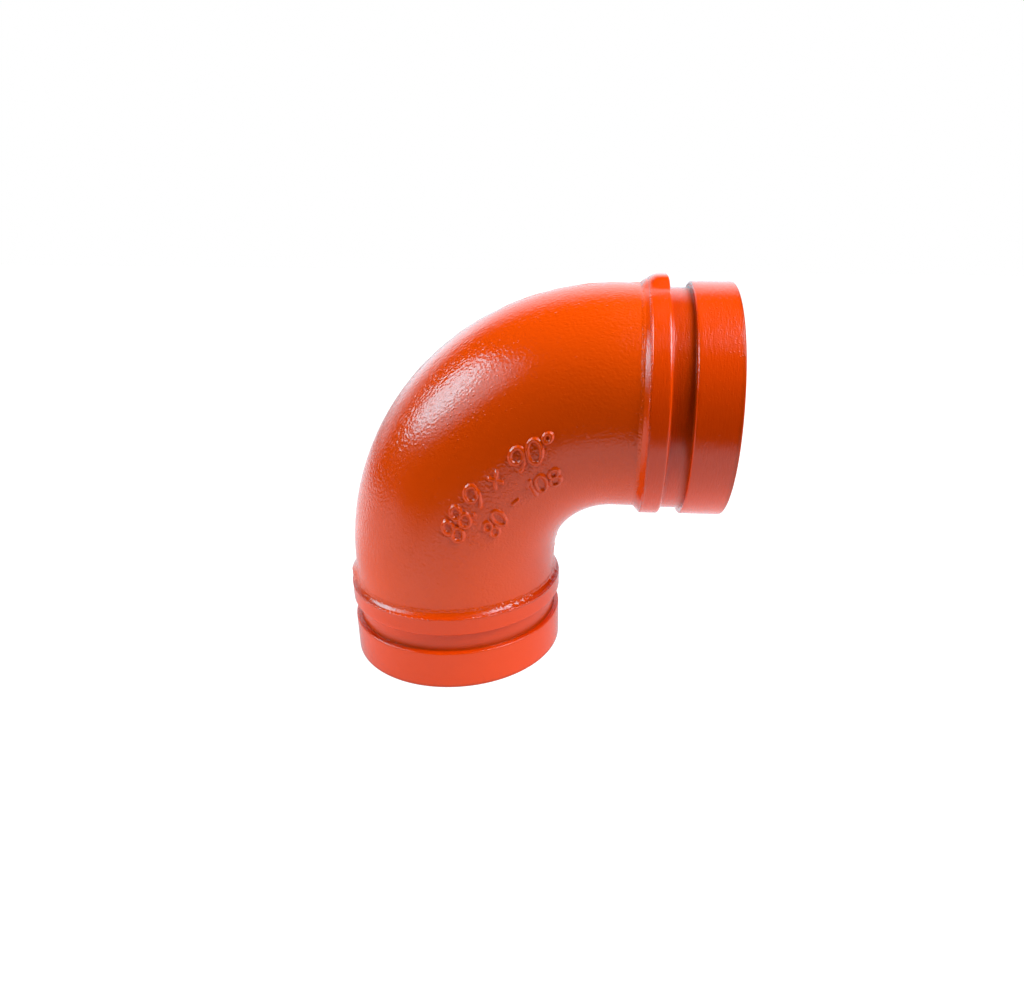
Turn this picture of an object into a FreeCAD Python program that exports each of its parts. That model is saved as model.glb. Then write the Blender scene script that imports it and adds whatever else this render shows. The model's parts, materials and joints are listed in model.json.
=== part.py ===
"""Grooved 90 degree elbow for 88.9 mm (DN80, 3 inch) pipe.

It is one ductile iron casting with two ports, each turned and grooved for a clamp-on pipe coupling.

Frame: +Z up. The origin is the centre of the lower port's end face, which the elbow stands on. The lower
port's axis is Z, the side port points along +X, and the bend lies in the XZ plane.

The two halves of the elbow are alike. One half is made from its port to the plane that halves the bend,
and is then mirrored in that plane.
"""
import FreeCAD, Part
import Sketcher
import os

# Driving sizes, in millimetres, and the angle of the bend, in degrees
SIZES = {
    "bend_angle": 90.0,
    "pipe_diameter": 88.9,      # outside of the pipe that the ports match
    "centre_to_end": 108.0,     # from the crossing of the two axes to either end face
    "seat_length": 15.88,       # land that the coupling's gasket seals on
    "groove_width": 7.95,
    "groove_depth": 2.2,        # from the land down to the groove's floor
    "bead_width": 7.2,          # raised ring behind the groove, which backs the coupling's keys
    "bead_rise": 0.15,          # how far the bead stands above the land
    "shoulder_length": 2.2,     # slope from the bead down to the cast body, along the port
    "body_step": 2.35,          # how far the cast body lies below the land
    "tangent_length": 8.0,      # plain straight of the body between the shoulder and the bend
    "wall_thickness": 4.8,
    "rim_chamfer": 0.5,         # outer edge of the end face
    "mouth_chamfer": 1.0,       # inner edge of the end face
    "land_round": 0.8,          # corner between the land and the groove
    "groove_fillet": 0.5,       # both corners of the groove's floor
    "bead_round": 1.2,          # corner of the bead towards the groove
    "crest_round": 0.8,         # corner of the bead towards the shoulder
    "shoulder_fillet": 1.8,     # hollow where the shoulder runs into the body
}

# Radii from the port's axis and heights above its end face, as formulas of the driving sizes
DERIVED = {
    "land_radius": "=pipe_diameter / 2",
    "rim_radius": "=land_radius - rim_chamfer",
    "floor_radius": "=land_radius - groove_depth",
    "bead_radius": "=land_radius + bead_rise",
    "body_radius": "=land_radius - body_step",
    "waterway_radius": "=body_radius - wall_thickness",
    "mouth_radius": "=waterway_radius + mouth_chamfer",
    "groove_end": "=seat_length + groove_width",
    "bead_end": "=groove_end + bead_width",
    "shoulder_end": "=bead_end + shoulder_length",
    "straight_length": "=shoulder_end + tangent_length",
    "half_bend": "=bend_angle / 2",
    "bend_radius": "=(centre_to_end - straight_length) / tan(half_bend)",
}

# The wall of one port, cut along its axis: each corner as (radius, height)
PORT_WALL = [
    ("mouth_radius", None),
    ("rim_radius", None),
    ("land_radius", "rim_chamfer"),
    ("land_radius", "seat_length"),
    ("floor_radius", "seat_length"),
    ("floor_radius", "groove_end"),
    ("bead_radius", "groove_end"),
    ("bead_radius", "bead_end"),
    ("body_radius", "shoulder_end"),
    ("body_radius", "straight_length"),
    ("waterway_radius", "straight_length"),
    ("waterway_radius", "mouth_chamfer"),
]

# The rounded corners of the turned port: name, size of the rounding, corners of the wall that get it
ROUNDINGS = [
    ("land_corner", "land_round", [("land_radius", "seat_length")]),
    ("groove_corners", "groove_fillet", [("floor_radius", "seat_length"), ("floor_radius", "groove_end")]),
    ("bead_corner", "bead_round", [("bead_radius", "groove_end")]),
    ("crest_corner", "crest_round", [("bead_radius", "bead_end")]),
    ("shoulder_hollow", "shoulder_fillet", [("body_radius", "shoulder_end")]),
]

ORIGIN = (-1, 1)                # a sketch's own origin, as its constraints name it
H_AXIS = -1                     # and its horizontal axis
START, END, CENTRE = range(1, 4)  # points of a sketch's line or circle
SAME_PLACE = 1e-4               # mm, between an edge and where it is looked for


def sizes_sheet(doc):
    """Spreadsheet of every size: its name in column A, and its value in column B under that name as alias."""
    sheet = doc.addObject("Spreadsheet::Sheet", "sizes")
    cells = [(name, f"{value:g}") for name, value in SIZES.items()] + list(DERIVED.items())
    for row, (name, content) in enumerate(cells, start=1):
        sheet.set(f"A{row}", name)
        sheet.set(f"B{row}", content)
        sheet.setAlias(f"B{row}", name)
    doc.recompute()
    return sheet


def attached(body, kind, name, role):
    """New sketch or datum plane, attached to the body's own origin plane of that role."""
    item = body.newObject(kind, name)
    item.AttachmentSupport = (next(plane for plane in body.Origin.OriginFeatures if plane.Role == role), "")
    item.MapMode = "FlatFace"
    return item


def dimension(sketch, kind, *where, size, sheet):
    """Adds a dimension that takes its value from the sheet."""
    index = sketch.addConstraint(Sketcher.Constraint(kind, *where, float(sheet.get(size))))
    sketch.setExpression(f"Constraints[{index}]", f"sizes.{size}")


def port_wall_sketch(body, sheet):
    """Closed outline of the port's wall, every corner dimensioned from the port's axis and end face."""
    sketch = attached(body, "Sketcher::SketchObject", "port_wall", "XZ_Plane")
    corners = [FreeCAD.Vector(float(sheet.get(radius)), float(sheet.get(height)) if height else 0, 0)
               for radius, height in PORT_WALL]
    for number, corner in enumerate(corners):
        sketch.addGeometry(Part.LineSegment(corner, corners[(number + 1) % len(corners)]), False)
    for number, (radius, height) in enumerate(PORT_WALL):
        before = (number - 1) % len(corners)
        sketch.addConstraint(Sketcher.Constraint("Coincident", before, END, number, START))
        dimension(sketch, "DistanceX", *ORIGIN, number, START, size=radius, sheet=sheet)
        if height:
            dimension(sketch, "DistanceY", *ORIGIN, number, START, size=height, sheet=sheet)
        else:
            sketch.addConstraint(Sketcher.Constraint("PointOnObject", number, START, H_AXIS))
    return sketch


def bend_wall_sketch(body, sheet):
    """Ring section of the bend's wall where the port's straight ends, and the axis that it turns about."""
    sketch = attached(body, "Sketcher::SketchObject", "bend_wall", "XY_Plane")
    sketch.setExpression("AttachmentOffset.Base.z", "sizes.straight_length")
    up = FreeCAD.Vector(0, 0, 1)
    for number, radius in enumerate(("body_radius", "waterway_radius")):
        sketch.addGeometry(Part.Circle(FreeCAD.Vector(), up, float(sheet.get(radius))), False)
        sketch.addConstraint(Sketcher.Constraint("Coincident", number, CENTRE, *ORIGIN))
        dimension(sketch, "Radius", number, size=radius, sheet=sheet)
    reach = float(sheet.get("bend_radius"))
    foot, top = FreeCAD.Vector(reach, 0, 0), FreeCAD.Vector(reach, reach, 0)
    axis = sketch.addGeometry(Part.LineSegment(foot, top), True)
    sketch.addConstraint(Sketcher.Constraint("Vertical", axis))
    sketch.addConstraint(Sketcher.Constraint("PointOnObject", axis, START, H_AXIS))
    dimension(sketch, "DistanceX", *ORIGIN, axis, START, size="bend_radius", sheet=sheet)
    dimension(sketch, "DistanceY", axis, START, axis, END, size="bend_radius", sheet=sheet)
    return sketch


def circles_at(shape, places):
    """Names of the shape's circles about the Z axis that have one of the given (radius, height) pairs."""
    names = []
    for number, edge in enumerate(shape.Edges, start=1):
        if not isinstance(edge.Curve, Part.Circle):
            continue
        centre = edge.Curve.Center
        for radius, height in places:
            off_centre = centre.distanceToPoint(FreeCAD.Vector(0, 0, height))
            if off_centre + abs(edge.Curve.Radius - radius) < SAME_PLACE:
                names.append(f"Edge{number}")
    return names


def revolved(doc, body, name, profile, axis, angle=None):
    """Solid that the profile sweeps about its sketch's axis, by a full turn or by the angle of that name."""
    turn = body.newObject("PartDesign::Revolution", name)
    turn.Profile = profile
    turn.ReferenceAxis = (profile, [axis])
    if angle:
        turn.setExpression("Angle", f"sizes.{angle}")
    doc.recompute()
    return turn


def elbow_body(doc, sheet):
    """The casting: a turned port and half of the bend, with rounded corners, mirrored into the other half."""
    body = doc.addObject("PartDesign::Body", "elbow_body")
    body.Label = "elbow_body"

    revolved(doc, body, "port", port_wall_sketch(body, sheet), "V_Axis")
    tip = revolved(doc, body, "first_half", bend_wall_sketch(body, sheet), "Axis0", "half_bend")
    for name, size, corners in ROUNDINGS:
        places = [(float(sheet.get(radius)), float(sheet.get(height))) for radius, height in corners]
        rounding = body.newObject("PartDesign::Fillet", name)
        rounding.Base = (tip, circles_at(tip.Shape, places))
        rounding.setExpression("Radius", f"sizes.{size}")
        doc.recompute()
        tip = rounding

    halving_plane = attached(body, "PartDesign::Plane", "halving_plane", "XY_Plane")
    halving_plane.AttachmentOffset.Rotation.Axis = FreeCAD.Vector(0, 1, 0)
    halving_plane.setExpression("AttachmentOffset.Rotation.Angle", "sizes.half_bend")
    halving_plane.setExpression("AttachmentOffset.Base.z", "sizes.centre_to_end")
    other_half = body.newObject("PartDesign::Mirrored", "other_half")
    other_half.TransformMode = "Whole shape"
    other_half.MirrorPlane = (halving_plane, [""])
    other_half.Refine = True
    body.Tip = other_half
    doc.recompute()
    return body


def check(doc, bodies):
    """Raises if any object failed to compute, or a body isn't one valid solid."""
    for item in doc.Objects:
        if "Invalid" in item.State or "Error" in item.State:
            raise RuntimeError(f"{item.Name} failed: {item.State}")
    for body in bodies:
        if body.Shape.isNull() or not body.Shape.isValid() or len(body.Shape.Solids) != 1:
            raise RuntimeError(f"{body.Label} is not one valid solid")


doc = FreeCAD.newDocument("grooved_elbow")
sheet = sizes_sheet(doc)
bodies = [elbow_body(doc, sheet)]
check(doc, bodies)
os.makedirs("parts", exist_ok=True)
for body in bodies:
    body.Shape.exportStep(f"parts/{body.Label}.step")
    solid = body.Shape.Solids[0]
    print(body.Label, len(solid.Faces), "faces,", round(solid.Volume / 1000, 1), "cm3,", solid.CenterOfMass)
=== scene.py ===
"""A grooved pipe elbow, cast in iron, painted orange, and standing on its lower port in a small studio."""
import json
import math

import bmesh
import bpy
import numpy as np
from mathutils import Matrix, Vector


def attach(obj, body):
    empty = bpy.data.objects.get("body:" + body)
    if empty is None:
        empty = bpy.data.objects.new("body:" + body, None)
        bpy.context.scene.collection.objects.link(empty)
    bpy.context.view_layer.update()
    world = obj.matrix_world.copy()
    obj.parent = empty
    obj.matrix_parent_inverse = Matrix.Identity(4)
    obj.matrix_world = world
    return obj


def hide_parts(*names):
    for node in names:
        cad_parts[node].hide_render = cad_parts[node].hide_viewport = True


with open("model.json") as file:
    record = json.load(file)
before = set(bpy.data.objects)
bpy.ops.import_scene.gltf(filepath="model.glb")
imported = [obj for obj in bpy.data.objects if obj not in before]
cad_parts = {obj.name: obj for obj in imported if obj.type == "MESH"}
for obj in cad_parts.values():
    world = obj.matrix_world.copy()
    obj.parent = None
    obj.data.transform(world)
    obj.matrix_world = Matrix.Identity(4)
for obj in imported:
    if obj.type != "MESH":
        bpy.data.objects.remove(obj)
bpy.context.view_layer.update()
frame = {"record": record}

# The casting: its outline
# The elbow is one iron casting. A lathe has turned its two ports: the land that a coupling's gasket seals on,
# the groove that takes the coupling's keys, and the bead behind it. Between the beads its skin is as cast.
mounts = {mount["name"]: mount for mount in frame["record"]["mounts"]}
LAND_RADIUS = mounts["lower_port"]["dims"]["r_mm"] / 1000
CENTRE_TO_END = mounts["side_port"]["pos_m"][0]
SEAT_LENGTH = 0.01588
GROOVE_WIDTH = 0.00795
GROOVE_DEPTH = 0.0022
BEAD_WIDTH = 0.0072
BEAD_RISE = 0.00015
SHOULDER_LENGTH = 0.0022
BODY_STEP = 0.00235
TANGENT_LENGTH = 0.008
WALL = 0.0048
RIM_CHAMFER = 0.0005
MOUTH_CHAMFER = 0.001
LAND_ROUND = 0.0008
GROOVE_FILLET = 0.0005
BEAD_ROUND = 0.0012
RIM_ROUND = 0.0004                          # paint over the edges of the rim's chamfer
MOUTH_ROUND = 0.0003                        # and of the mouth's

BODY_RADIUS = LAND_RADIUS - BODY_STEP
WATERWAY_RADIUS = BODY_RADIUS - WALL
BEAD_START = SEAT_LENGTH + GROOVE_WIDTH
BEAD_END = BEAD_START + BEAD_WIDTH
BODY_START = BEAD_END + SHOULDER_LENGTH
BEND_START = BODY_START + TANGENT_LENGTH
BEND_RADIUS = CENTRE_TO_END - BEND_START
BEND_LENGTH = BEND_RADIUS * math.pi / 2
TRAVEL = 2 * BEND_START + BEND_LENGTH       # along the centre line, from the lower end face to the side one

# How far apart the mesh's points lie: closest on the torn shoulders, widest in the waterway
ON_ARCS = 0.0002
FINE = 0.00022
SMALL = 0.0006
PLAIN = 0.0013
WIDE = 0.0017
COARSE = 0.008
# Distances from the end that hold the shoulder and its roundings
SHOULDER_FROM, SHOULDER_TO = 0.0303, 0.0353

# Each corner as (travel, radius, rounding, spacing of the points up to the next corner)
PORT_CORNERS = [
    (0.0, WATERWAY_RADIUS + MOUTH_CHAMFER, MOUTH_ROUND, PLAIN),
    (0.0, LAND_RADIUS - RIM_CHAMFER, RIM_ROUND, SMALL),
    (RIM_CHAMFER, LAND_RADIUS, RIM_ROUND, PLAIN),
    (SEAT_LENGTH, LAND_RADIUS, LAND_ROUND, SMALL),
    (SEAT_LENGTH, LAND_RADIUS - GROOVE_DEPTH, GROOVE_FILLET, PLAIN),
    (BEAD_START, LAND_RADIUS - GROOVE_DEPTH, GROOVE_FILLET, SMALL),
    (BEAD_START, LAND_RADIUS + BEAD_RISE, BEAD_ROUND, PLAIN),
    (SHOULDER_FROM, LAND_RADIUS + BEAD_RISE, 0.0, FINE),
    (SHOULDER_TO, LAND_RADIUS + BEAD_RISE, 0.0, PLAIN),
]


def rounded_outline(corners):
    """Closed outline through the corners. A corner with a rounding becomes an arc of that radius that touches
    both of its straight runs: its centre lies on the corner's bisector, at rounding / sin(half its angle)."""
    here = np.array([corner[:2] for corner in corners])
    runs = []
    for number, (*_, rounding, spacing) in enumerate(corners):
        point = here[number]
        back = here[number - 1] - point
        ahead = here[(number + 1) % len(corners)] - point
        back, ahead = back / np.linalg.norm(back), ahead / np.linalg.norm(ahead)
        if rounding:
            half = math.acos(np.clip(back @ ahead, -1, 1)) / 2
            reach = rounding / math.tan(half)
            centre = point + (back + ahead) / np.linalg.norm(back + ahead) * rounding / math.sin(half)
            first, last = point + back * reach - centre, point + ahead * reach - centre
            turn = math.pi - 2 * half
            share = np.linspace(0, 1, max(4, math.ceil(turn * rounding / ON_ARCS)))[:, None]
            bow = (np.sin((1 - share) * turn) * first + np.sin(share * turn) * last) / math.sin(turn)
            runs.append((centre + bow, spacing))
        else:
            runs.append((point[None], spacing))
    points = []
    for number, (bow, spacing) in enumerate(runs):
        start, end = bow[-1], runs[(number + 1) % len(runs)][0][0]
        count = max(1, math.ceil(np.linalg.norm(end - start) / spacing))
        share = np.arange(1, count)[:, None] / count
        points += [bow, start + share * (end - start)]
    return np.concatenate(points)


# The side port's corners run from its shoulder to its end, and the waterway's from there back to the start
side_corners = [(TRAVEL - travel, radius, rounding) for travel, radius, rounding, _ in reversed(PORT_CORNERS)]
side_spacings = [spacing for *_, spacing in reversed(PORT_CORNERS)][1:] + [COARSE]
side = [corner + (spacing,) for corner, spacing in zip(side_corners, side_spacings)]
inside = [
    (TRAVEL - MOUTH_CHAMFER, WATERWAY_RADIUS, MOUTH_ROUND, COARSE),
    (MOUTH_CHAMFER, WATERWAY_RADIUS, MOUTH_ROUND, COARSE),
]
outline = rounded_outline(PORT_CORNERS + side + inside)

# Angles round the centre line, in degrees: 0 on the outer side of the bend, 90 on the camera's side (-Y).
# The grid's lines stand close together at the mould's two parting lines, 0 and 180.
ROUND_STOPS = [(-180, SMALL), (-176, WIDE), (-27, PLAIN), (-6, SMALL), (6, PLAIN), (27, WIDE), (176, SMALL),
               (180, None)]


def graded_angles(stops):
    """Angles in radians, in equal steps from stop to stop, at most the stop's spacing long on the body."""
    parts = []
    for (start, spacing), (end, _) in zip(stops, stops[1:]):
        count = math.ceil(math.radians(end - start) * BODY_RADIUS / spacing)
        parts.append(np.radians(start + (end - start) * np.arange(count) / count))
    return np.concatenate(parts)


def centre_line(travel):
    """Point and outward direction at each travel: up the lower port's axis, round a quarter circle about the
    bend's centre, and out along the side port's axis. Outward points away from the bend's centre."""
    turn = np.clip((travel - BEND_START) / BEND_RADIUS, 0, math.pi / 2)
    before = np.minimum(travel - BEND_START, 0)
    after = np.maximum(travel - BEND_START - BEND_LENGTH, 0)
    point = np.stack([BEND_RADIUS * (1 - np.cos(turn)) + after, 0 * turn,
                      BEND_START + BEND_RADIUS * np.sin(turn) + before], -1)
    outward = np.stack([-np.cos(turn), 0 * turn, np.sin(turn)], -1)
    return point, outward


def on_surface(travel, round_angle, radius):
    """Place of a point of the skin: its point on the centre line, plus its radius times cos(round angle)
    outwards and times sin(round angle) towards the camera."""
    centre, outward = centre_line(travel)
    towards_camera = np.array([0.0, -1.0, 0.0])
    return centre + radius[..., None] * (np.cos(round_angle)[..., None] * outward
                                         + np.sin(round_angle)[..., None] * towards_camera)


angles = graded_angles(ROUND_STOPS)
travel, round_angle = np.meshgrid(outline[:, 0], angles, indexing="ij")
radius = np.repeat(outline[:, 1:], len(angles), axis=1)

# The casting: what the foundry left on it
# The core and the mould's two halves never met quite true: at the side port the body is fatter and lies a
# millimetre outwards of its centre line. The parting line in the plane of the bend keeps a low, broken
# ridge, and a lug of iron stands on the outer side of both beads.
CLEAR_OF_WATERWAY = 0.0015                  # the skin further out than this is the outer one
from_end = np.minimum(travel, TRAVEL - travel)
at_side = (travel > TRAVEL / 2).astype(float)
outer_skin = (radius > WATERWAY_RADIUS + CLEAR_OF_WATERWAY).astype(float)

SHIFT_HALF_LENGTH = 0.055                   # of the stretch in which the shift and the swelling grow
WAVE_HEIGHT = 0.00007


def eased(low, high, value):
    """0 below low, 1 above high, and between them 3s^2 - 2s^3, s being the share of the way."""
    share = np.clip((value - low) / (high - low), 0, 1)
    return share * share * (3 - 2 * share)


def profile(value, *stops):
    """Straight lines through the (value, height) stops, both in millimetres; heights in metres."""
    places, heights = np.array(stops, float).T
    return np.interp(value, places / 1000, heights / 1000)


def cast_radius(travel, round_angle):
    """Radius of the cast body: plain, plus the shift of mould and core times the angle's cosine, plus the
    swelling, both growing along the travel by a sine and its square, plus two low waves that run aslant."""
    along = np.sin(math.pi / 2 * np.clip((travel - TRAVEL / 2) / SHIFT_HALF_LENGTH, -1, 1))
    mould_shift = (0.61 + 0.51 * along - 0.15 * along ** 2) / 1000
    fatter = (0.27 + 0.19 * along + 0.14 * along ** 2) / 1000
    waves = WAVE_HEIGHT * (np.sin(61 * travel + 2.1 * np.sin(2 * round_angle)) * np.sin(3 * round_angle + 0.7)
                           + np.sin(113 * travel - 1.3) * np.sin(5 * round_angle + 2.6))
    return BODY_RADIUS + mould_shift * np.cos(round_angle) + fatter + waves


def joined(first, second, blend):
    """The larger of two heights, with the corner between them filled where they differ by less than the
    blend: by (blend - difference)^2 / (4 blend)."""
    return np.maximum(first, second) + np.maximum(blend - np.abs(first - second), 0) ** 2 / (4 * blend)


# The shoulder falls from the bead, with a small rounding, to the body: a long plain slope at the side port,
# and a short one that ends in a wide hollow at the lower port
CREST_BLEND = 0.0004
slope_length = np.where(at_side > 0, 0.0026, 0.0015)
hollow_blend = np.where(at_side > 0, 0.0004, 0.0022)
body_skin = cast_radius(travel, round_angle)
bead_skin = np.full_like(radius, LAND_RADIUS + BEAD_RISE)
slope = bead_skin - (bead_skin - body_skin) * (from_end - BEAD_END) / slope_length
shoulder = -joined(-bead_skin, -joined(body_skin, slope, hollow_blend), CREST_BLEND)
radius = np.where(outer_skin * (from_end > SHOULDER_FROM) > 0, shoulder, radius)

# The parting line's ridge, heavier on the inner side of the bend
RIDGE_HEIGHT = 0.00022
off_parting = np.abs(np.sin(round_angle)) * BODY_RADIUS
broken = (0.55 + 0.25 * np.sin(410 * travel + 1.0) + 0.2 * np.sin(977 * travel + 4.0)
          + 0.2 * np.sin(1730 * travel) * np.sin(203 * travel))
heavier = np.where(np.cos(round_angle) > 0, 1.0, 1.6)
ridge = RIDGE_HEIGHT * broken * (1 - eased(0.0002, 0.0012, off_parting)) * heavier
radius = radius + outer_skin * eased(0.0310, 0.0345, from_end) * ridge

# The lugs: each stands full high on its bead and runs out down the groove's wall
LUG_CLEAR_OF_SEAT = 0.001
off_outer_side = np.degrees(np.abs(round_angle))
side_lug = profile(from_end, (22.9, 2.3), (23.9, 2.5), (24.6, 2.55), (28.0, 2.5), (29.3, 2.25), (30.7, 1.5),
                   (31.4, 1.1), (32.6, 1.0), (34.2, 0.0)) * (1 - eased(7, 18, off_outer_side))
lower_lug = profile(from_end, (30.0, 0.0), (31.5, 0.3), (32.6, 2.0), (34.6, 2.5), (36.5, 1.1),
                    (38.5, 0.0)) * (1 - eased(14, 27, off_outer_side))
above_floor = np.clip((radius - LAND_RADIUS + GROOVE_DEPTH) / (GROOVE_DEPTH + BEAD_RISE), 0, 1)
above_floor = np.where(from_end > BEAD_END, 1.0, above_floor) * (from_end > SEAT_LENGTH + LUG_CLEAR_OF_SEAT)
radius = radius + outer_skin * above_floor * np.where(at_side > 0, side_lug, lower_lug)

# A barely raised plate lies under the two rows of numerals, on the camera's side, between two travels and two
# distances from the bend's centre, and fades out at its borders
PLATE_START, PLATE_END, END_FADE = 0.0620, 0.1230, 0.006
PLATE_INNER, PLATE_OUTER, SIDE_FADE = 0.0462, 0.0702, 0.004
PLATE_RISE = 0.00014
from_bend_centre = BEND_RADIUS + radius * np.cos(round_angle)
plate = (eased(PLATE_START, PLATE_START + END_FADE, travel)
         * (1 - eased(PLATE_END - END_FADE, PLATE_END, travel))
         * eased(PLATE_INNER, PLATE_INNER + SIDE_FADE, from_bend_centre)
         * (1 - eased(PLATE_OUTER - SIDE_FADE, PLATE_OUTER, from_bend_centre))
         * (np.sin(round_angle) > 0) * outer_skin)
radius = radius + PLATE_RISE * plate


def grid_piece(name, grids):
    """Object made of grids of points, each a pair of the points and whether its last row joins its first.
    A face joins each point to the next ones along its row and column. All grids close along their columns,
    and their faces are wound so that they point out of the iron."""
    vertices, faces, used = [], [], 0
    for points, closes in grids:
        index = used + np.arange(points[..., 0].size).reshape(points.shape[:2])
        right, above = np.roll(index, -1, axis=1), np.roll(index, -1, axis=0)
        quads = np.stack([index, right, np.roll(right, -1, axis=0), above], -1)
        faces.append((quads if closes else quads[:-1]).reshape(-1, 4))
        vertices.append(points.reshape(-1, 3))
        used += index.size
    vertices, faces = np.concatenate(vertices), np.concatenate(faces)
    mesh = bpy.data.meshes.new(name)
    mesh.vertices.add(len(vertices))
    mesh.vertices.foreach_set("co", vertices.astype(np.float32).ravel())
    mesh.loops.add(faces.size)
    mesh.loops.foreach_set("vertex_index", faces.ravel().astype(np.int32))
    mesh.polygons.add(len(faces))
    mesh.polygons.foreach_set("loop_start", np.arange(0, faces.size, 4, dtype=np.int32))
    mesh.polygons.foreach_set("loop_total", np.full(len(faces), 4, dtype=np.int32))
    mesh.polygons.foreach_set("use_smooth", np.ones(len(faces), dtype=bool))
    mesh.update(calc_edges=True)
    mesh.validate()
    piece = bpy.data.objects.new(name, mesh)
    bpy.context.scene.collection.objects.link(piece)
    return piece


def keep(piece, name, kind, field, values):
    """Stores a value of each of the piece's points under a name, for the paint to read."""
    kept = piece.data.attributes.new(name, kind, "POINT")
    kept.data.foreach_set(field, values.astype(np.float32).ravel())


casting = grid_piece("elbow_casting", [(on_surface(travel, round_angle, radius), True)])

# What the paint's texture needs to know of each point. Its place with the bend straightened out:
degrees_round = np.degrees(round_angle)
unbent = np.stack([radius * np.cos(round_angle), radius * np.sin(round_angle), travel], -1)
# How far the lathe left it alone, and how rough the sand's grain is there: less where the front is worn and
# towards the side port, and more on the plate
as_cast = np.where(outer_skin > 0, eased(0.0306, 0.0336, from_end), eased(0.0, 0.003, from_end))
worn = eased(44, 62, degrees_round) * (1 - eased(84, 100, degrees_round))
worn *= eased(0.050, 0.066, travel) * (1 - eased(0.120, 0.134, travel))
sandy = as_cast * (1 - 0.7 * worn) * (1 - 0.35 * eased(0.104, 0.114, travel))
sandy += plate
# How far the lathe's tool tore it, at the land's edge and along both borders of the shoulder, and where it
# left hatches: on the lower port's shoulder, towards the inner side of the bend
torn = np.interp(from_end * 1000, [15.2, 15.8, 16.2, 16.5, 30.5, 30.8, 31.3, 31.6, 33.0, 33.3, 33.9, 34.4],
                 [0.0, 0.5, 0.5, 0.0, 0.0, 1.0, 1.0, 0.1, 0.1, 0.8, 0.8, 0.0]) * outer_skin
hatched = eased(0.0302, 0.0308, from_end) * (1 - eased(0.0330, 0.0340, from_end)) * outer_skin
hatched = hatched * eased(112, 140, degrees_round) * (1 - at_side)
# Painted shade, as darker and less glossy paint: on the groove's floor, more so in its two corners, and on
# the ends' rims, where the lower one stands on the floor
OVER_THE_CORNER = 0.0003
depth = np.clip((LAND_RADIUS - radius) / GROOVE_DEPTH, 0, 1) * outer_skin
in_groove = depth * (from_end > SEAT_LENGTH) * (from_end < BEAD_START + OVER_THE_CORNER)
shaded = np.interp(degrees_round, [20, 45, 70, 90, 105, 125], [0.25, 0.24, 0.36, 0.34, 0.14, 0.05])
painted_shade = in_groove * (np.where(at_side > 0, shaded, 0.14)
                    + 0.36 * (1 - eased(SEAT_LENGTH, SEAT_LENGTH + 0.004, from_end))
                    + 0.12 * eased(BEAD_START - 0.0015, BEAD_START, from_end))
painted_shade = np.maximum(painted_shade, 0.45 * outer_skin * (1 - eased(0.0004, 0.0010, from_end)))
for name, values in [("sandy", sandy), ("turned", 1 - as_cast), ("torn", torn), ("hatched", hatched),
                     ("painted_shade", painted_shade)]:
    keep(casting, name, "FLOAT", "value", values)
keep(casting, "unbent", "FLOAT_VECTOR", "vector", unbent)

# The raised numerals
# They stood on the foundry's pattern, in two rows that follow the bend: the pipe's size and the bend's angle,
# and the nominal size and the centre-to-end distance. They are one with the casting, in plain strokes with
# sloping sides and rounded tops that stand 0.65 mm high.
SLANT = math.tan(math.radians(14))
GAP = 0.0011
LINE_POINTS = 12
WELD = 0.000002
# One half of a stroke's section, in millimetres: distance from its middle and height over the skin
HALF_SECTION = [(0.98, -0.40), (0.90, 0.0), (0.84, 0.05), (0.77, 0.11), (0.44, 0.46), (0.36, 0.54),
                (0.24, 0.61), (0.12, 0.645)]
OTHER_HALF = [(-across, up) for across, up in reversed(HALF_SECTION)]
SECTION = np.array(HALF_SECTION + [(0.0, 0.65)] + OTHER_HALF) / 1000


def arc(x, y, half_width, half_height, start, end, count):
    """Points on an ellipse about (x, y) between two angles in degrees, anticlockwise from the right: the
    half width times the angle's cosine, and the half height times its sine."""
    turn = np.radians(np.linspace(start, end, count))
    return np.stack([x + half_width * np.cos(turn), y + half_height * np.sin(turn)], -1)


def line(x, y, to_x, to_y):
    """Points in even steps on the straight line between two places."""
    return np.linspace((x, y), (to_x, to_y), LINE_POINTS)


# Strokes of each character, one unit high and standing on the row's line, and the character's own width
CHARACTERS = {
    "0": ([arc(0.31, 0.5, 0.31, 0.5, 0, 360, 41)], 0.62),
    "1": ([line(0.0, 0.74, 0.22, 1.0), line(0.22, 1.0, 0.22, 0.0)], 0.26),
    "8": ([arc(0.3, 0.75, 0.25, 0.25, 0, 360, 33), arc(0.3, 0.26, 0.3, 0.26, 0, 360, 33)], 0.6),
    "9": ([arc(0.3, 0.69, 0.3, 0.31, 0, 360, 33), arc(-0.1, 0.69, 0.7, 0.75, 0, -62, 22)], 0.6),
    ".": ([line(0.08, 0.04, 0.12, 0.04)], 0.2),
    "-": ([line(0.05, 0.45, 0.4, 0.45)], 0.45),
    "x": ([line(0.02, 0.1, 0.42, 0.6), line(0.02, 0.6, 0.42, 0.1)], 0.44),
    "o": ([arc(0.16, 0.84, 0.16, 0.17, 0, 360, 29)], 0.32),
    " ": ([], 0.45),
}


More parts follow.
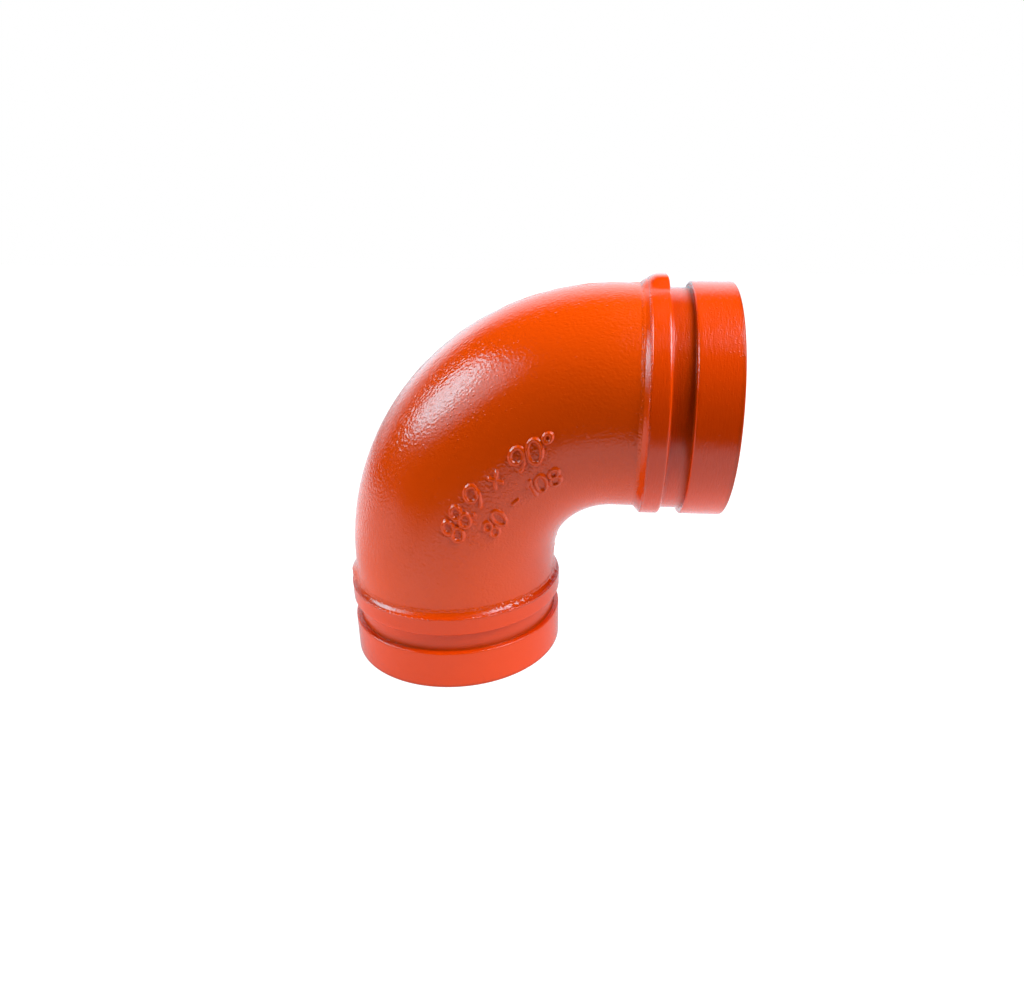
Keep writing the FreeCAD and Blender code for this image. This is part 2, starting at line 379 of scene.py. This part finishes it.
def stroke_grid(path):
    """Places in the row and heights of a stroke's surface. The section stands square to the path at each of
    its points, and at a free end its two halves swing round the end point until they meet."""
    closes = bool(np.allclose(path[0], path[-1]))
    if closes:
        path = path[:-1]
        ahead = np.roll(path, -1, axis=0) - np.roll(path, 1, axis=0)
        swing = np.zeros(len(path))
    else:
        ahead = np.gradient(path, axis=0)
        turn = np.radians([90, 67.5, 45, 22.5])
        swing = np.concatenate([-turn, np.zeros(len(path)), turn[::-1]])
        again = np.clip(np.arange(len(swing)) - len(turn), 0, len(path) - 1)
        path, ahead = path[again], ahead[again]
    ahead = ahead / np.linalg.norm(ahead, axis=1)[:, None]
    aside = np.stack([-ahead[:, 1], ahead[:, 0]], -1)
    across, height = SECTION.T
    sideways = across * np.cos(swing)[:, None]
    onward = np.abs(across) * np.sin(swing)[:, None]
    places = path[:, None] + sideways[..., None] * aside[:, None] + onward[..., None] * ahead[:, None]
    return places, np.broadcast_to(height, places.shape[:2]), closes


grids = []
# Each row as (characters, height, distance of its line from the bend's centre, travel at its left end)
for characters, row_height, row_radius, row_start in [
        ("88.9 x 90o", 0.0082, 0.0598, 0.0655),
        ("80 - 108", 0.0064, 0.0488, 0.0730),
]:
    reached = 0.0
    for character in characters:
        strokes, width = CHARACTERS[character]
        for stroke in strokes:
            places, height, closes = stroke_grid(stroke * row_height + (reached, 0.0))
            along_row, up_row = places[..., 0], places[..., 1]
            stroke_travel = row_start + (along_row + up_row * SLANT) * BEND_RADIUS / row_radius
            stroke_angle = np.arccos((row_radius + up_row - BEND_RADIUS) / BODY_RADIUS)
            stroke_radius = cast_radius(stroke_travel, stroke_angle) + PLATE_RISE + height
            grids.append((on_surface(stroke_travel, stroke_angle, stroke_radius), closes))
        reached += width * row_height + GAP

numerals = grid_piece("elbow_numerals", grids)
# A stroke's two halves meet at its free ends, where their points are merged
welded = bmesh.new()
welded.from_mesh(numerals.data)
bmesh.ops.remove_doubles(welded, verts=welded.verts, dist=WELD)
welded.to_mesh(numerals.data)
welded.free()
vertex_places = np.zeros(len(numerals.data.vertices) * 3, np.float32)
numerals.data.vertices.foreach_get("co", vertex_places)
keep(numerals, "unbent", "FLOAT_VECTOR", "vector", vertex_places)
keep(numerals, "sandy", "FLOAT", "value", np.ones(len(numerals.data.vertices)))

# The enamel
# Glossy orange enamel, sprayed thick straight on the iron. It follows the sand's grain on the cast skin,
# shows the lathe's fine grooves on the ports, and holds a little dust.
TURNED_ORANGE = (0.85, 0.063, 0.001, 1)
CAST_ORANGE = (0.85, 0.076, 0.001, 1)
# The colour of the painted shade in the groove and on the rims
SHADED_ORANGE = (0.16, 0.024, 0.001, 1)
MILLIMETRE = 0.001

enamel = bpy.data.materials.new("orange_enamel")
enamel.use_nodes = True
nodes, links = enamel.node_tree.nodes, enamel.node_tree.links
paint = nodes["Principled BSDF"]
paint.inputs["Roughness"].default_value = 0.12


def attribute(name, output="Fac"):
    """One of the values that the piece keeps for each of its points."""
    reader = nodes.new("ShaderNodeAttribute")
    reader.attribute_name = name
    return reader.outputs[output]


def grain(place, stretch, scale, detail):
    """Noise on the straightened skin: its cells are one over the scale long, divided by the stretch on each
    axis."""
    mapping = nodes.new("ShaderNodeMapping")
    mapping.inputs["Scale"].default_value = stretch
    links.new(place, mapping.inputs["Vector"])
    noise = nodes.new("ShaderNodeTexNoise")
    noise.inputs["Scale"].default_value = scale
    noise.inputs["Detail"].default_value = detail
    links.new(mapping.outputs["Vector"], noise.inputs["Vector"])
    return noise.outputs["Fac"]


def times(first, second):
    """Product of an output and another output or a number."""
    product = nodes.new("ShaderNodeMath")
    product.operation = "MULTIPLY"
    links.new(first, product.inputs[0])
    if isinstance(second, float):
        product.inputs[1].default_value = second
    else:
        links.new(second, product.inputs[1])
    return product.outputs[0]


def plus(first, second):
    """Sum of two outputs."""
    summed = nodes.new("ShaderNodeMath")
    links.new(first, summed.inputs[0])
    links.new(second, summed.inputs[1])
    return summed.outputs[0]


def ramped(value, start, end, low, high, kind="SMOOTHSTEP"):
    """The value's way from start to end, smooth or straight, mapped to low and high; held there outside."""
    ramp = nodes.new("ShaderNodeMapRange")
    ramp.interpolation_type = kind
    for socket, number in [("From Min", start), ("From Max", end), ("To Min", low), ("To Max", high)]:
        ramp.inputs[socket].default_value = number
    links.new(value, ramp.inputs["Value"])
    return ramp.outputs[0]


def blended(share, first, second):
    """Colour that goes from the first to the second with the share, 0 to 1. The first may be an output."""
    mix = nodes.new("ShaderNodeMix")
    mix.data_type = "RGBA"
    links.new(share, mix.inputs["Factor"])
    if isinstance(first, tuple):
        mix.inputs["A"].default_value = first
    else:
        links.new(first, mix.inputs["A"])
    mix.inputs["B"].default_value = second
    return mix.outputs["Result"]


def specks(place, scale):
    """Round specks, one in the middle of about every third cell of a Voronoi pattern: 1 in the middle, and
    falling smoothly to 0 at the edge."""
    cells = nodes.new("ShaderNodeTexVoronoi")
    cells.inputs["Scale"].default_value = scale
    links.new(place, cells.inputs["Vector"])
    chance = nodes.new("ShaderNodeSeparateColor")
    links.new(cells.outputs["Color"], chance.inputs[0])
    round_spot = ramped(cells.outputs["Distance"], 0.05, 0.32, 1.0, 0.0)
    return times(round_spot, ramped(chance.outputs[0], 0.6, 0.7, 0.0, 1.0))


# Heights of each relief, in millimetres
place = attribute("unbent", "Vector")
turned_skin = attribute("turned")
peel = times(grain(place, (1, 1, 1), 1120, 0.6), 0.18)
sand = times(grain(place, (1, 1, 1), 1800, 1.0), 0.04)
dust = times(specks(place, 800), 0.05)
lathe = times(grain(place, (1, 1, 6), 300, 2.0), 0.10)
tears = times(grain(place, (1, 1, 1), 1250, 0.5), 0.36)
hatches = times(grain(place, (1, 1, 0.3), 480, 1.0), 0.60)
skins = plus(times(peel, attribute("sandy")), times(lathe, turned_skin))
tooling = plus(times(tears, attribute("torn")), times(hatches, attribute("hatched")))
height = plus(skins, plus(tooling, plus(sand, dust)))
relief = nodes.new("ShaderNodeBump")
relief.inputs["Strength"].default_value = 1.0
relief.inputs["Distance"].default_value = MILLIMETRE
links.new(height, relief.inputs["Height"])
links.new(relief.outputs["Normal"], paint.inputs["Normal"])

# The enamel lies yellower on the cast skin than on the turned one. Where shade is painted, in the groove and
# on the rims, it is darker and mirrors less
painted_shade_mask = attribute("painted_shade")
orange = blended(turned_skin, CAST_ORANGE, TURNED_ORANGE)
links.new(blended(painted_shade_mask, orange, SHADED_ORANGE), paint.inputs["Base Color"])
links.new(ramped(painted_shade_mask, 0.2, 0.5, 0.5, 0.05), paint.inputs["Specular IOR Level"])

for piece in (casting, numerals):
    piece.data.materials.append(enamel)
    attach(piece, "root")
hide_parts("elbow_body")

# The floor
# A sheet of white acrylic that is also lit from below, so the casting throws only a faint shadow on it. To
# the paint, its front part looks dark, as a black cloth before it would: in the photo no light comes from
# the camera's side.
SHEET_HALF = 3.0
CLOTH_EDGE = -0.205                         # y where the cloth begins, from CLOTH_BEND to the right
CLOTH_BEND = 0.05
CLOTH_SLANT = 0.15                          # left of that it begins further forward, by this much a metre
CLOTH_BLUR = 0.06
SHEET_GREY = (0.15, 0.15, 0.15, 1)
MIRRORED_WHITE = (0.78, 0.96, 1.07, 1)      # the sheet's light as the paint mirrors it, a little blue
WHITE = (1, 1, 1, 1)
BLACK = (0, 0, 0, 1)


def sheet(name, height):
    """Flat square sheet about the origin, with its corners at plus and minus SHEET_HALF."""
    mesh = bpy.data.meshes.new(name)
    corners = [(-SHEET_HALF, -SHEET_HALF), (SHEET_HALF, -SHEET_HALF), (SHEET_HALF, SHEET_HALF),
               (-SHEET_HALF, SHEET_HALF)]
    mesh.from_pydata([(x, y, height) for x, y in corners], [], [(0, 1, 2, 3)])
    piece = bpy.data.objects.new(name, mesh)
    bpy.context.scene.collection.objects.link(piece)
    return piece


def sheet_places(slant):
    """Four outputs for a point of a sheet: its x, its y, its distance from the elbow's foot, and how far it
    lies behind an edge that runs forward to the left: y - slant * min(x, CLOTH_BEND)."""
    place = nodes.new("ShaderNodeTexCoord")
    split = nodes.new("ShaderNodeSeparateXYZ")
    links.new(place.outputs["Object"], split.inputs[0])
    reach = nodes.new("ShaderNodeVectorMath")
    reach.operation = "LENGTH"
    links.new(place.outputs["Object"], reach.inputs[0])
    leftwards = nodes.new("ShaderNodeMath")
    leftwards.operation = "MINIMUM"
    leftwards.inputs[1].default_value = CLOTH_BEND
    links.new(split.outputs["X"], leftwards.inputs[0])
    behind_edge = nodes.new("ShaderNodeMath")
    behind_edge.operation = "MULTIPLY_ADD"
    behind_edge.inputs[1].default_value = -slant
    links.new(leftwards.outputs[0], behind_edge.inputs[0])
    links.new(split.outputs["Y"], behind_edge.inputs[2])
    return split.outputs["X"], split.outputs["Y"], reach.outputs["Value"], behind_edge.outputs[0]


floor = sheet("floor", 0)
floor.visible_diffuse = False

acrylic = bpy.data.materials.new("white_acrylic")
acrylic.use_nodes = True
nodes, links = acrylic.node_tree.nodes, acrylic.node_tree.links
x, y, reach, behind_edge = sheet_places(CLOTH_SLANT)
EDGE_LINE = CLOTH_EDGE - CLOTH_BEND * CLOTH_SLANT

# The share of its light that the paint sees: none on the cloth, less far to the left and far to the back,
# less close to the elbow as a painted shadow of it, and less on the left before it
bare = ramped(behind_edge, EDGE_LINE - CLOTH_BLUR, EDGE_LINE + CLOTH_BLUR, 0.0, 1.0)
far_left = ramped(x, -1.2, -0.4, 0.3, 1.0)
far_back = ramped(y, 0.25, 0.9, 1.0, 0.55)
elbow_shadow = ramped(reach, 0.045, 0.20, 0.55, 1.0)
front_left = times(ramped(x, -0.14, -0.04, 1.0, 0.0), ramped(y, 0.0, 0.09, 1.0, 0.0))
dimmed = times(elbow_shadow, ramped(front_left, 0.0, 1.0, 1.0, 0.70))
camera_ray = nodes.new("ShaderNodeLightPath").outputs["Is Camera Ray"]
lit = nodes.new("ShaderNodeMath")
lit.operation = "MAXIMUM"
links.new(camera_ray, lit.inputs[0])
links.new(times(times(times(bare, far_left), far_back), dimmed), lit.inputs[1])
sheet_surface = nodes["Principled BSDF"]
sheet_surface.inputs["Roughness"].default_value = 1.0
sheet_surface.inputs["Specular IOR Level"].default_value = 0.0
links.new(blended(lit.outputs[0], BLACK, SHEET_GREY), sheet_surface.inputs["Base Color"])
links.new(blended(camera_ray, MIRRORED_WHITE, WHITE), sheet_surface.inputs["Emission Color"])
links.new(lit.outputs[0], sheet_surface.inputs["Emission Strength"])
floor.data.materials.append(acrylic)

# The floor's glow
# What the floor gives back to the matt part of the paint: nothing from before the elbow, less from far
# behind it, and less from close to its foot as a painted shadow of the elbow. It lies just over the sheet,
# and only the light that falls on matt surfaces comes from it.
GLOW_HEIGHT = 0.0003
GLOW_SLANT = 0.37
GLOW_STRENGTH = 1.2

glow = sheet("floor_glow", GLOW_HEIGHT)
glow.visible_camera = False
glow.visible_glossy = False
glow.visible_shadow = False

glowing = bpy.data.materials.new("floor_glow")
glowing.use_nodes = True
nodes, links = glowing.node_tree.nodes, glowing.node_tree.links
x, y, reach, behind_edge = sheet_places(GLOW_SLANT)
from_behind = times(ramped(behind_edge, -0.155, -0.065, 0.0, GLOW_STRENGTH), ramped(y, 0.0, 1.2, 1.0, 0.14))
# Less close to the foot: the elbow's painted shadow
shine = times(from_behind, ramped(reach, 0.045, 0.085, 0.72, 1.0))
glow_surface = nodes["Principled BSDF"]
glow_surface.inputs["Specular IOR Level"].default_value = 0.0
glow_surface.inputs["Emission Color"].default_value = WHITE
# Grey where the lamps light it, and black where the cloth lies
links.new(ramped(y, -0.33, -0.27, 0.0, 0.3, "LINEAR"), glow_surface.inputs["Base Color"])
links.new(shine, glow_surface.inputs["Emission Strength"])
glow.data.materials.append(glowing)

# The light
# Two large softboxes, high on the left and on the right, and a pale wall behind; nothing shines from the
# camera's side or from straight above. The paint's gloss mirrors them as soft patches of the world, its
# matt part sees the boxes as lamps, and the camera sees plain white.
LEFT_TINT = (0.28, 0.86, 1.0, 1)
RIGHT_TINT = (0.50, 0.90, 1.05, 1)
WALL_TINT = (0.56, 0.92, 1.03, 1)
FLAG_AZIMUTH = -83

spot = bpy.data.node_groups.new("soft_patch", "ShaderNodeTree")
for name, kind in [("Direction", "Vector"), ("Centre", "Vector"), ("Rim", "Float"), ("Core", "Float"),
                   ("Strength", "Float")]:
    spot.interface.new_socket(name, in_out="INPUT", socket_type="NodeSocket" + kind)
spot.interface.new_socket("Light", in_out="OUTPUT", socket_type="NodeSocketFloat")
given, put_out = spot.nodes.new("NodeGroupInput"), spot.nodes.new("NodeGroupOutput")
nearness = spot.nodes.new("ShaderNodeVectorMath")
nearness.operation = "DOT_PRODUCT"
fade = spot.nodes.new("ShaderNodeMapRange")
fade.interpolation_type = "SMOOTHSTEP"
spot.links.new(given.outputs["Direction"], nearness.inputs[0])
spot.links.new(given.outputs["Centre"], nearness.inputs[1])
spot.links.new(nearness.outputs["Value"], fade.inputs["Value"])
spot.links.new(given.outputs["Rim"], fade.inputs["From Min"])
spot.links.new(given.outputs["Core"], fade.inputs["From Max"])
spot.links.new(given.outputs["Strength"], fade.inputs["To Max"])
spot.links.new(fade.outputs["Result"], put_out.inputs["Light"])

world = bpy.data.worlds.new("studio")
world.use_nodes = True
bpy.context.scene.world = world
nodes, links = world.node_tree.nodes, world.node_tree.links
direction = nodes.new("ShaderNodeTexCoord")


def compass(azimuth, elevation):
    """Unit vector of a compass angle, clockwise from +Y, and a height above the horizon, both in degrees."""
    a, e = math.radians(azimuth), math.radians(elevation)
    return math.sin(a) * math.cos(e), math.cos(a) * math.cos(e), math.sin(e)


# A black flag ends the left box sharply on the side of the wall behind
flag = nodes.new("ShaderNodeVectorMath")
flag.operation = "DOT_PRODUCT"
flag.inputs[1].default_value = compass(FLAG_AZIMUTH - 90, 0)
links.new(direction.outputs["Generated"], flag.inputs[0])
beside_flag = ramped(flag.outputs["Value"], -0.015, 0.02, 0.0, 1.0)

room = None
# name, compass angle and height of its centre, angles out to its core and its rim, strength, colour
for name, azimuth, elevation, core, rim, strength, colour in [
        ("left_box", -95.5, 32, 12.5, 19, 9.6, LEFT_TINT),
        ("left_box_flank", -116, 33, 3, 22.5, 4.2, LEFT_TINT),
        ("right_box", 98, 47, 4, 27, 13.0, RIGHT_TINT),
        ("right_box_front", 140, 66, 3, 14, 0.6, RIGHT_TINT),
        ("back_wall", -8, 14, 20, 45, 1.5, WALL_TINT),
        ("back_wall_end", -44, 8, 8, 28, 1.1, WALL_TINT),
]:
    patch = nodes.new("ShaderNodeGroup")
    patch.name = name
    patch.node_tree = spot
    patch.inputs["Centre"].default_value = compass(azimuth, elevation)
    patch.inputs["Rim"].default_value = math.cos(math.radians(rim))
    patch.inputs["Core"].default_value = math.cos(math.radians(core))
    patch.inputs["Strength"].default_value = strength
    links.new(direction.outputs["Generated"], patch.inputs["Direction"])
    box = nodes.new("ShaderNodeBackground")
    box.inputs["Color"].default_value = colour
    light = patch.outputs["Light"]
    links.new(times(light, beside_flag) if "left" in name else light, box.inputs["Strength"])
    if room is None:
        room = box
    else:
        both = nodes.new("ShaderNodeAddShader")
        links.new(room.outputs[0], both.inputs[0])
        links.new(box.outputs[0], both.inputs[1])
        room = both
seen = nodes["Background"]
seen.inputs["Color"].default_value = WHITE
camera_ray = nodes.new("ShaderNodeLightPath").outputs["Is Camera Ray"]
choice = nodes.new("ShaderNodeMixShader")
links.new(camera_ray, choice.inputs[0])
links.new(room.outputs[0], choice.inputs[1])
links.new(seen.outputs[0], choice.inputs[2])
links.new(choice.outputs[0], nodes["World Output"].inputs["Surface"])
world.cycles_visibility.diffuse = False

# The same softboxes as the matt part of the paint sees them: name, compass angle and height, width, strength
for name, azimuth, elevation, width, strength in [
        ("left_box", -98, 20, 38, 1.7),
        ("right_box", 97, 49, 40, 4.15),
        ("right_box_top", 48, 72, 32, 1.2),
]:
    light = bpy.data.lights.new(name, "SUN")
    light.energy = strength
    light.angle = math.radians(width)
    lamp = bpy.data.objects.new(name, light)
    lamp.matrix_world = Vector(compass(azimuth, elevation)).to_track_quat("Z", "Y").to_matrix().to_4x4()
    lamp.visible_glossy = False
    bpy.context.scene.collection.objects.link(lamp)

# The camera
# It stands close before the elbow and looks down on it with a wide lens, shifted a little off its axis. Its
# place, its turns and the lens were fitted to the elbow's outline in the photo.
IMAGE_WIDTH, IMAGE_HEIGHT = 1024, 1002
FOCAL_PIXELS = 685.9
CENTRE_PIXEL = (557.1, 504.2)
SENSOR_WIDTH = 36
EYE = (0.0605, -0.2676, 0.1690)
YAW, PITCH, ROLL = math.radians(-3.60), math.radians(-21.67), math.radians(0.42)
forward = Vector((math.sin(YAW) * math.cos(PITCH), math.cos(YAW) * math.cos(PITCH), math.sin(PITCH)))
right = Vector((math.cos(YAW), -math.sin(YAW), 0))
up = right.cross(forward)
right, up = math.cos(ROLL) * right + math.sin(ROLL) * up, -math.sin(ROLL) * right + math.cos(ROLL) * up
camera = bpy.data.objects.new("camera", bpy.data.cameras.new("camera"))
camera.matrix_world = Matrix.Translation(EYE) @ Matrix([right, up, -forward]).transposed().to_4x4()
camera.data.sensor_width = SENSOR_WIDTH
camera.data.lens = FOCAL_PIXELS * SENSOR_WIDTH / IMAGE_WIDTH
camera.data.shift_x = (IMAGE_WIDTH / 2 - CENTRE_PIXEL[0]) / IMAGE_WIDTH
camera.data.shift_y = (CENTRE_PIXEL[1] - IMAGE_HEIGHT / 2) / IMAGE_WIDTH
camera.data.clip_start = 0.01
bpy.context.scene.collection.objects.link(camera)
bpy.context.scene.camera = camera
bpy.context.scene.view_settings.view_transform = "Standard"
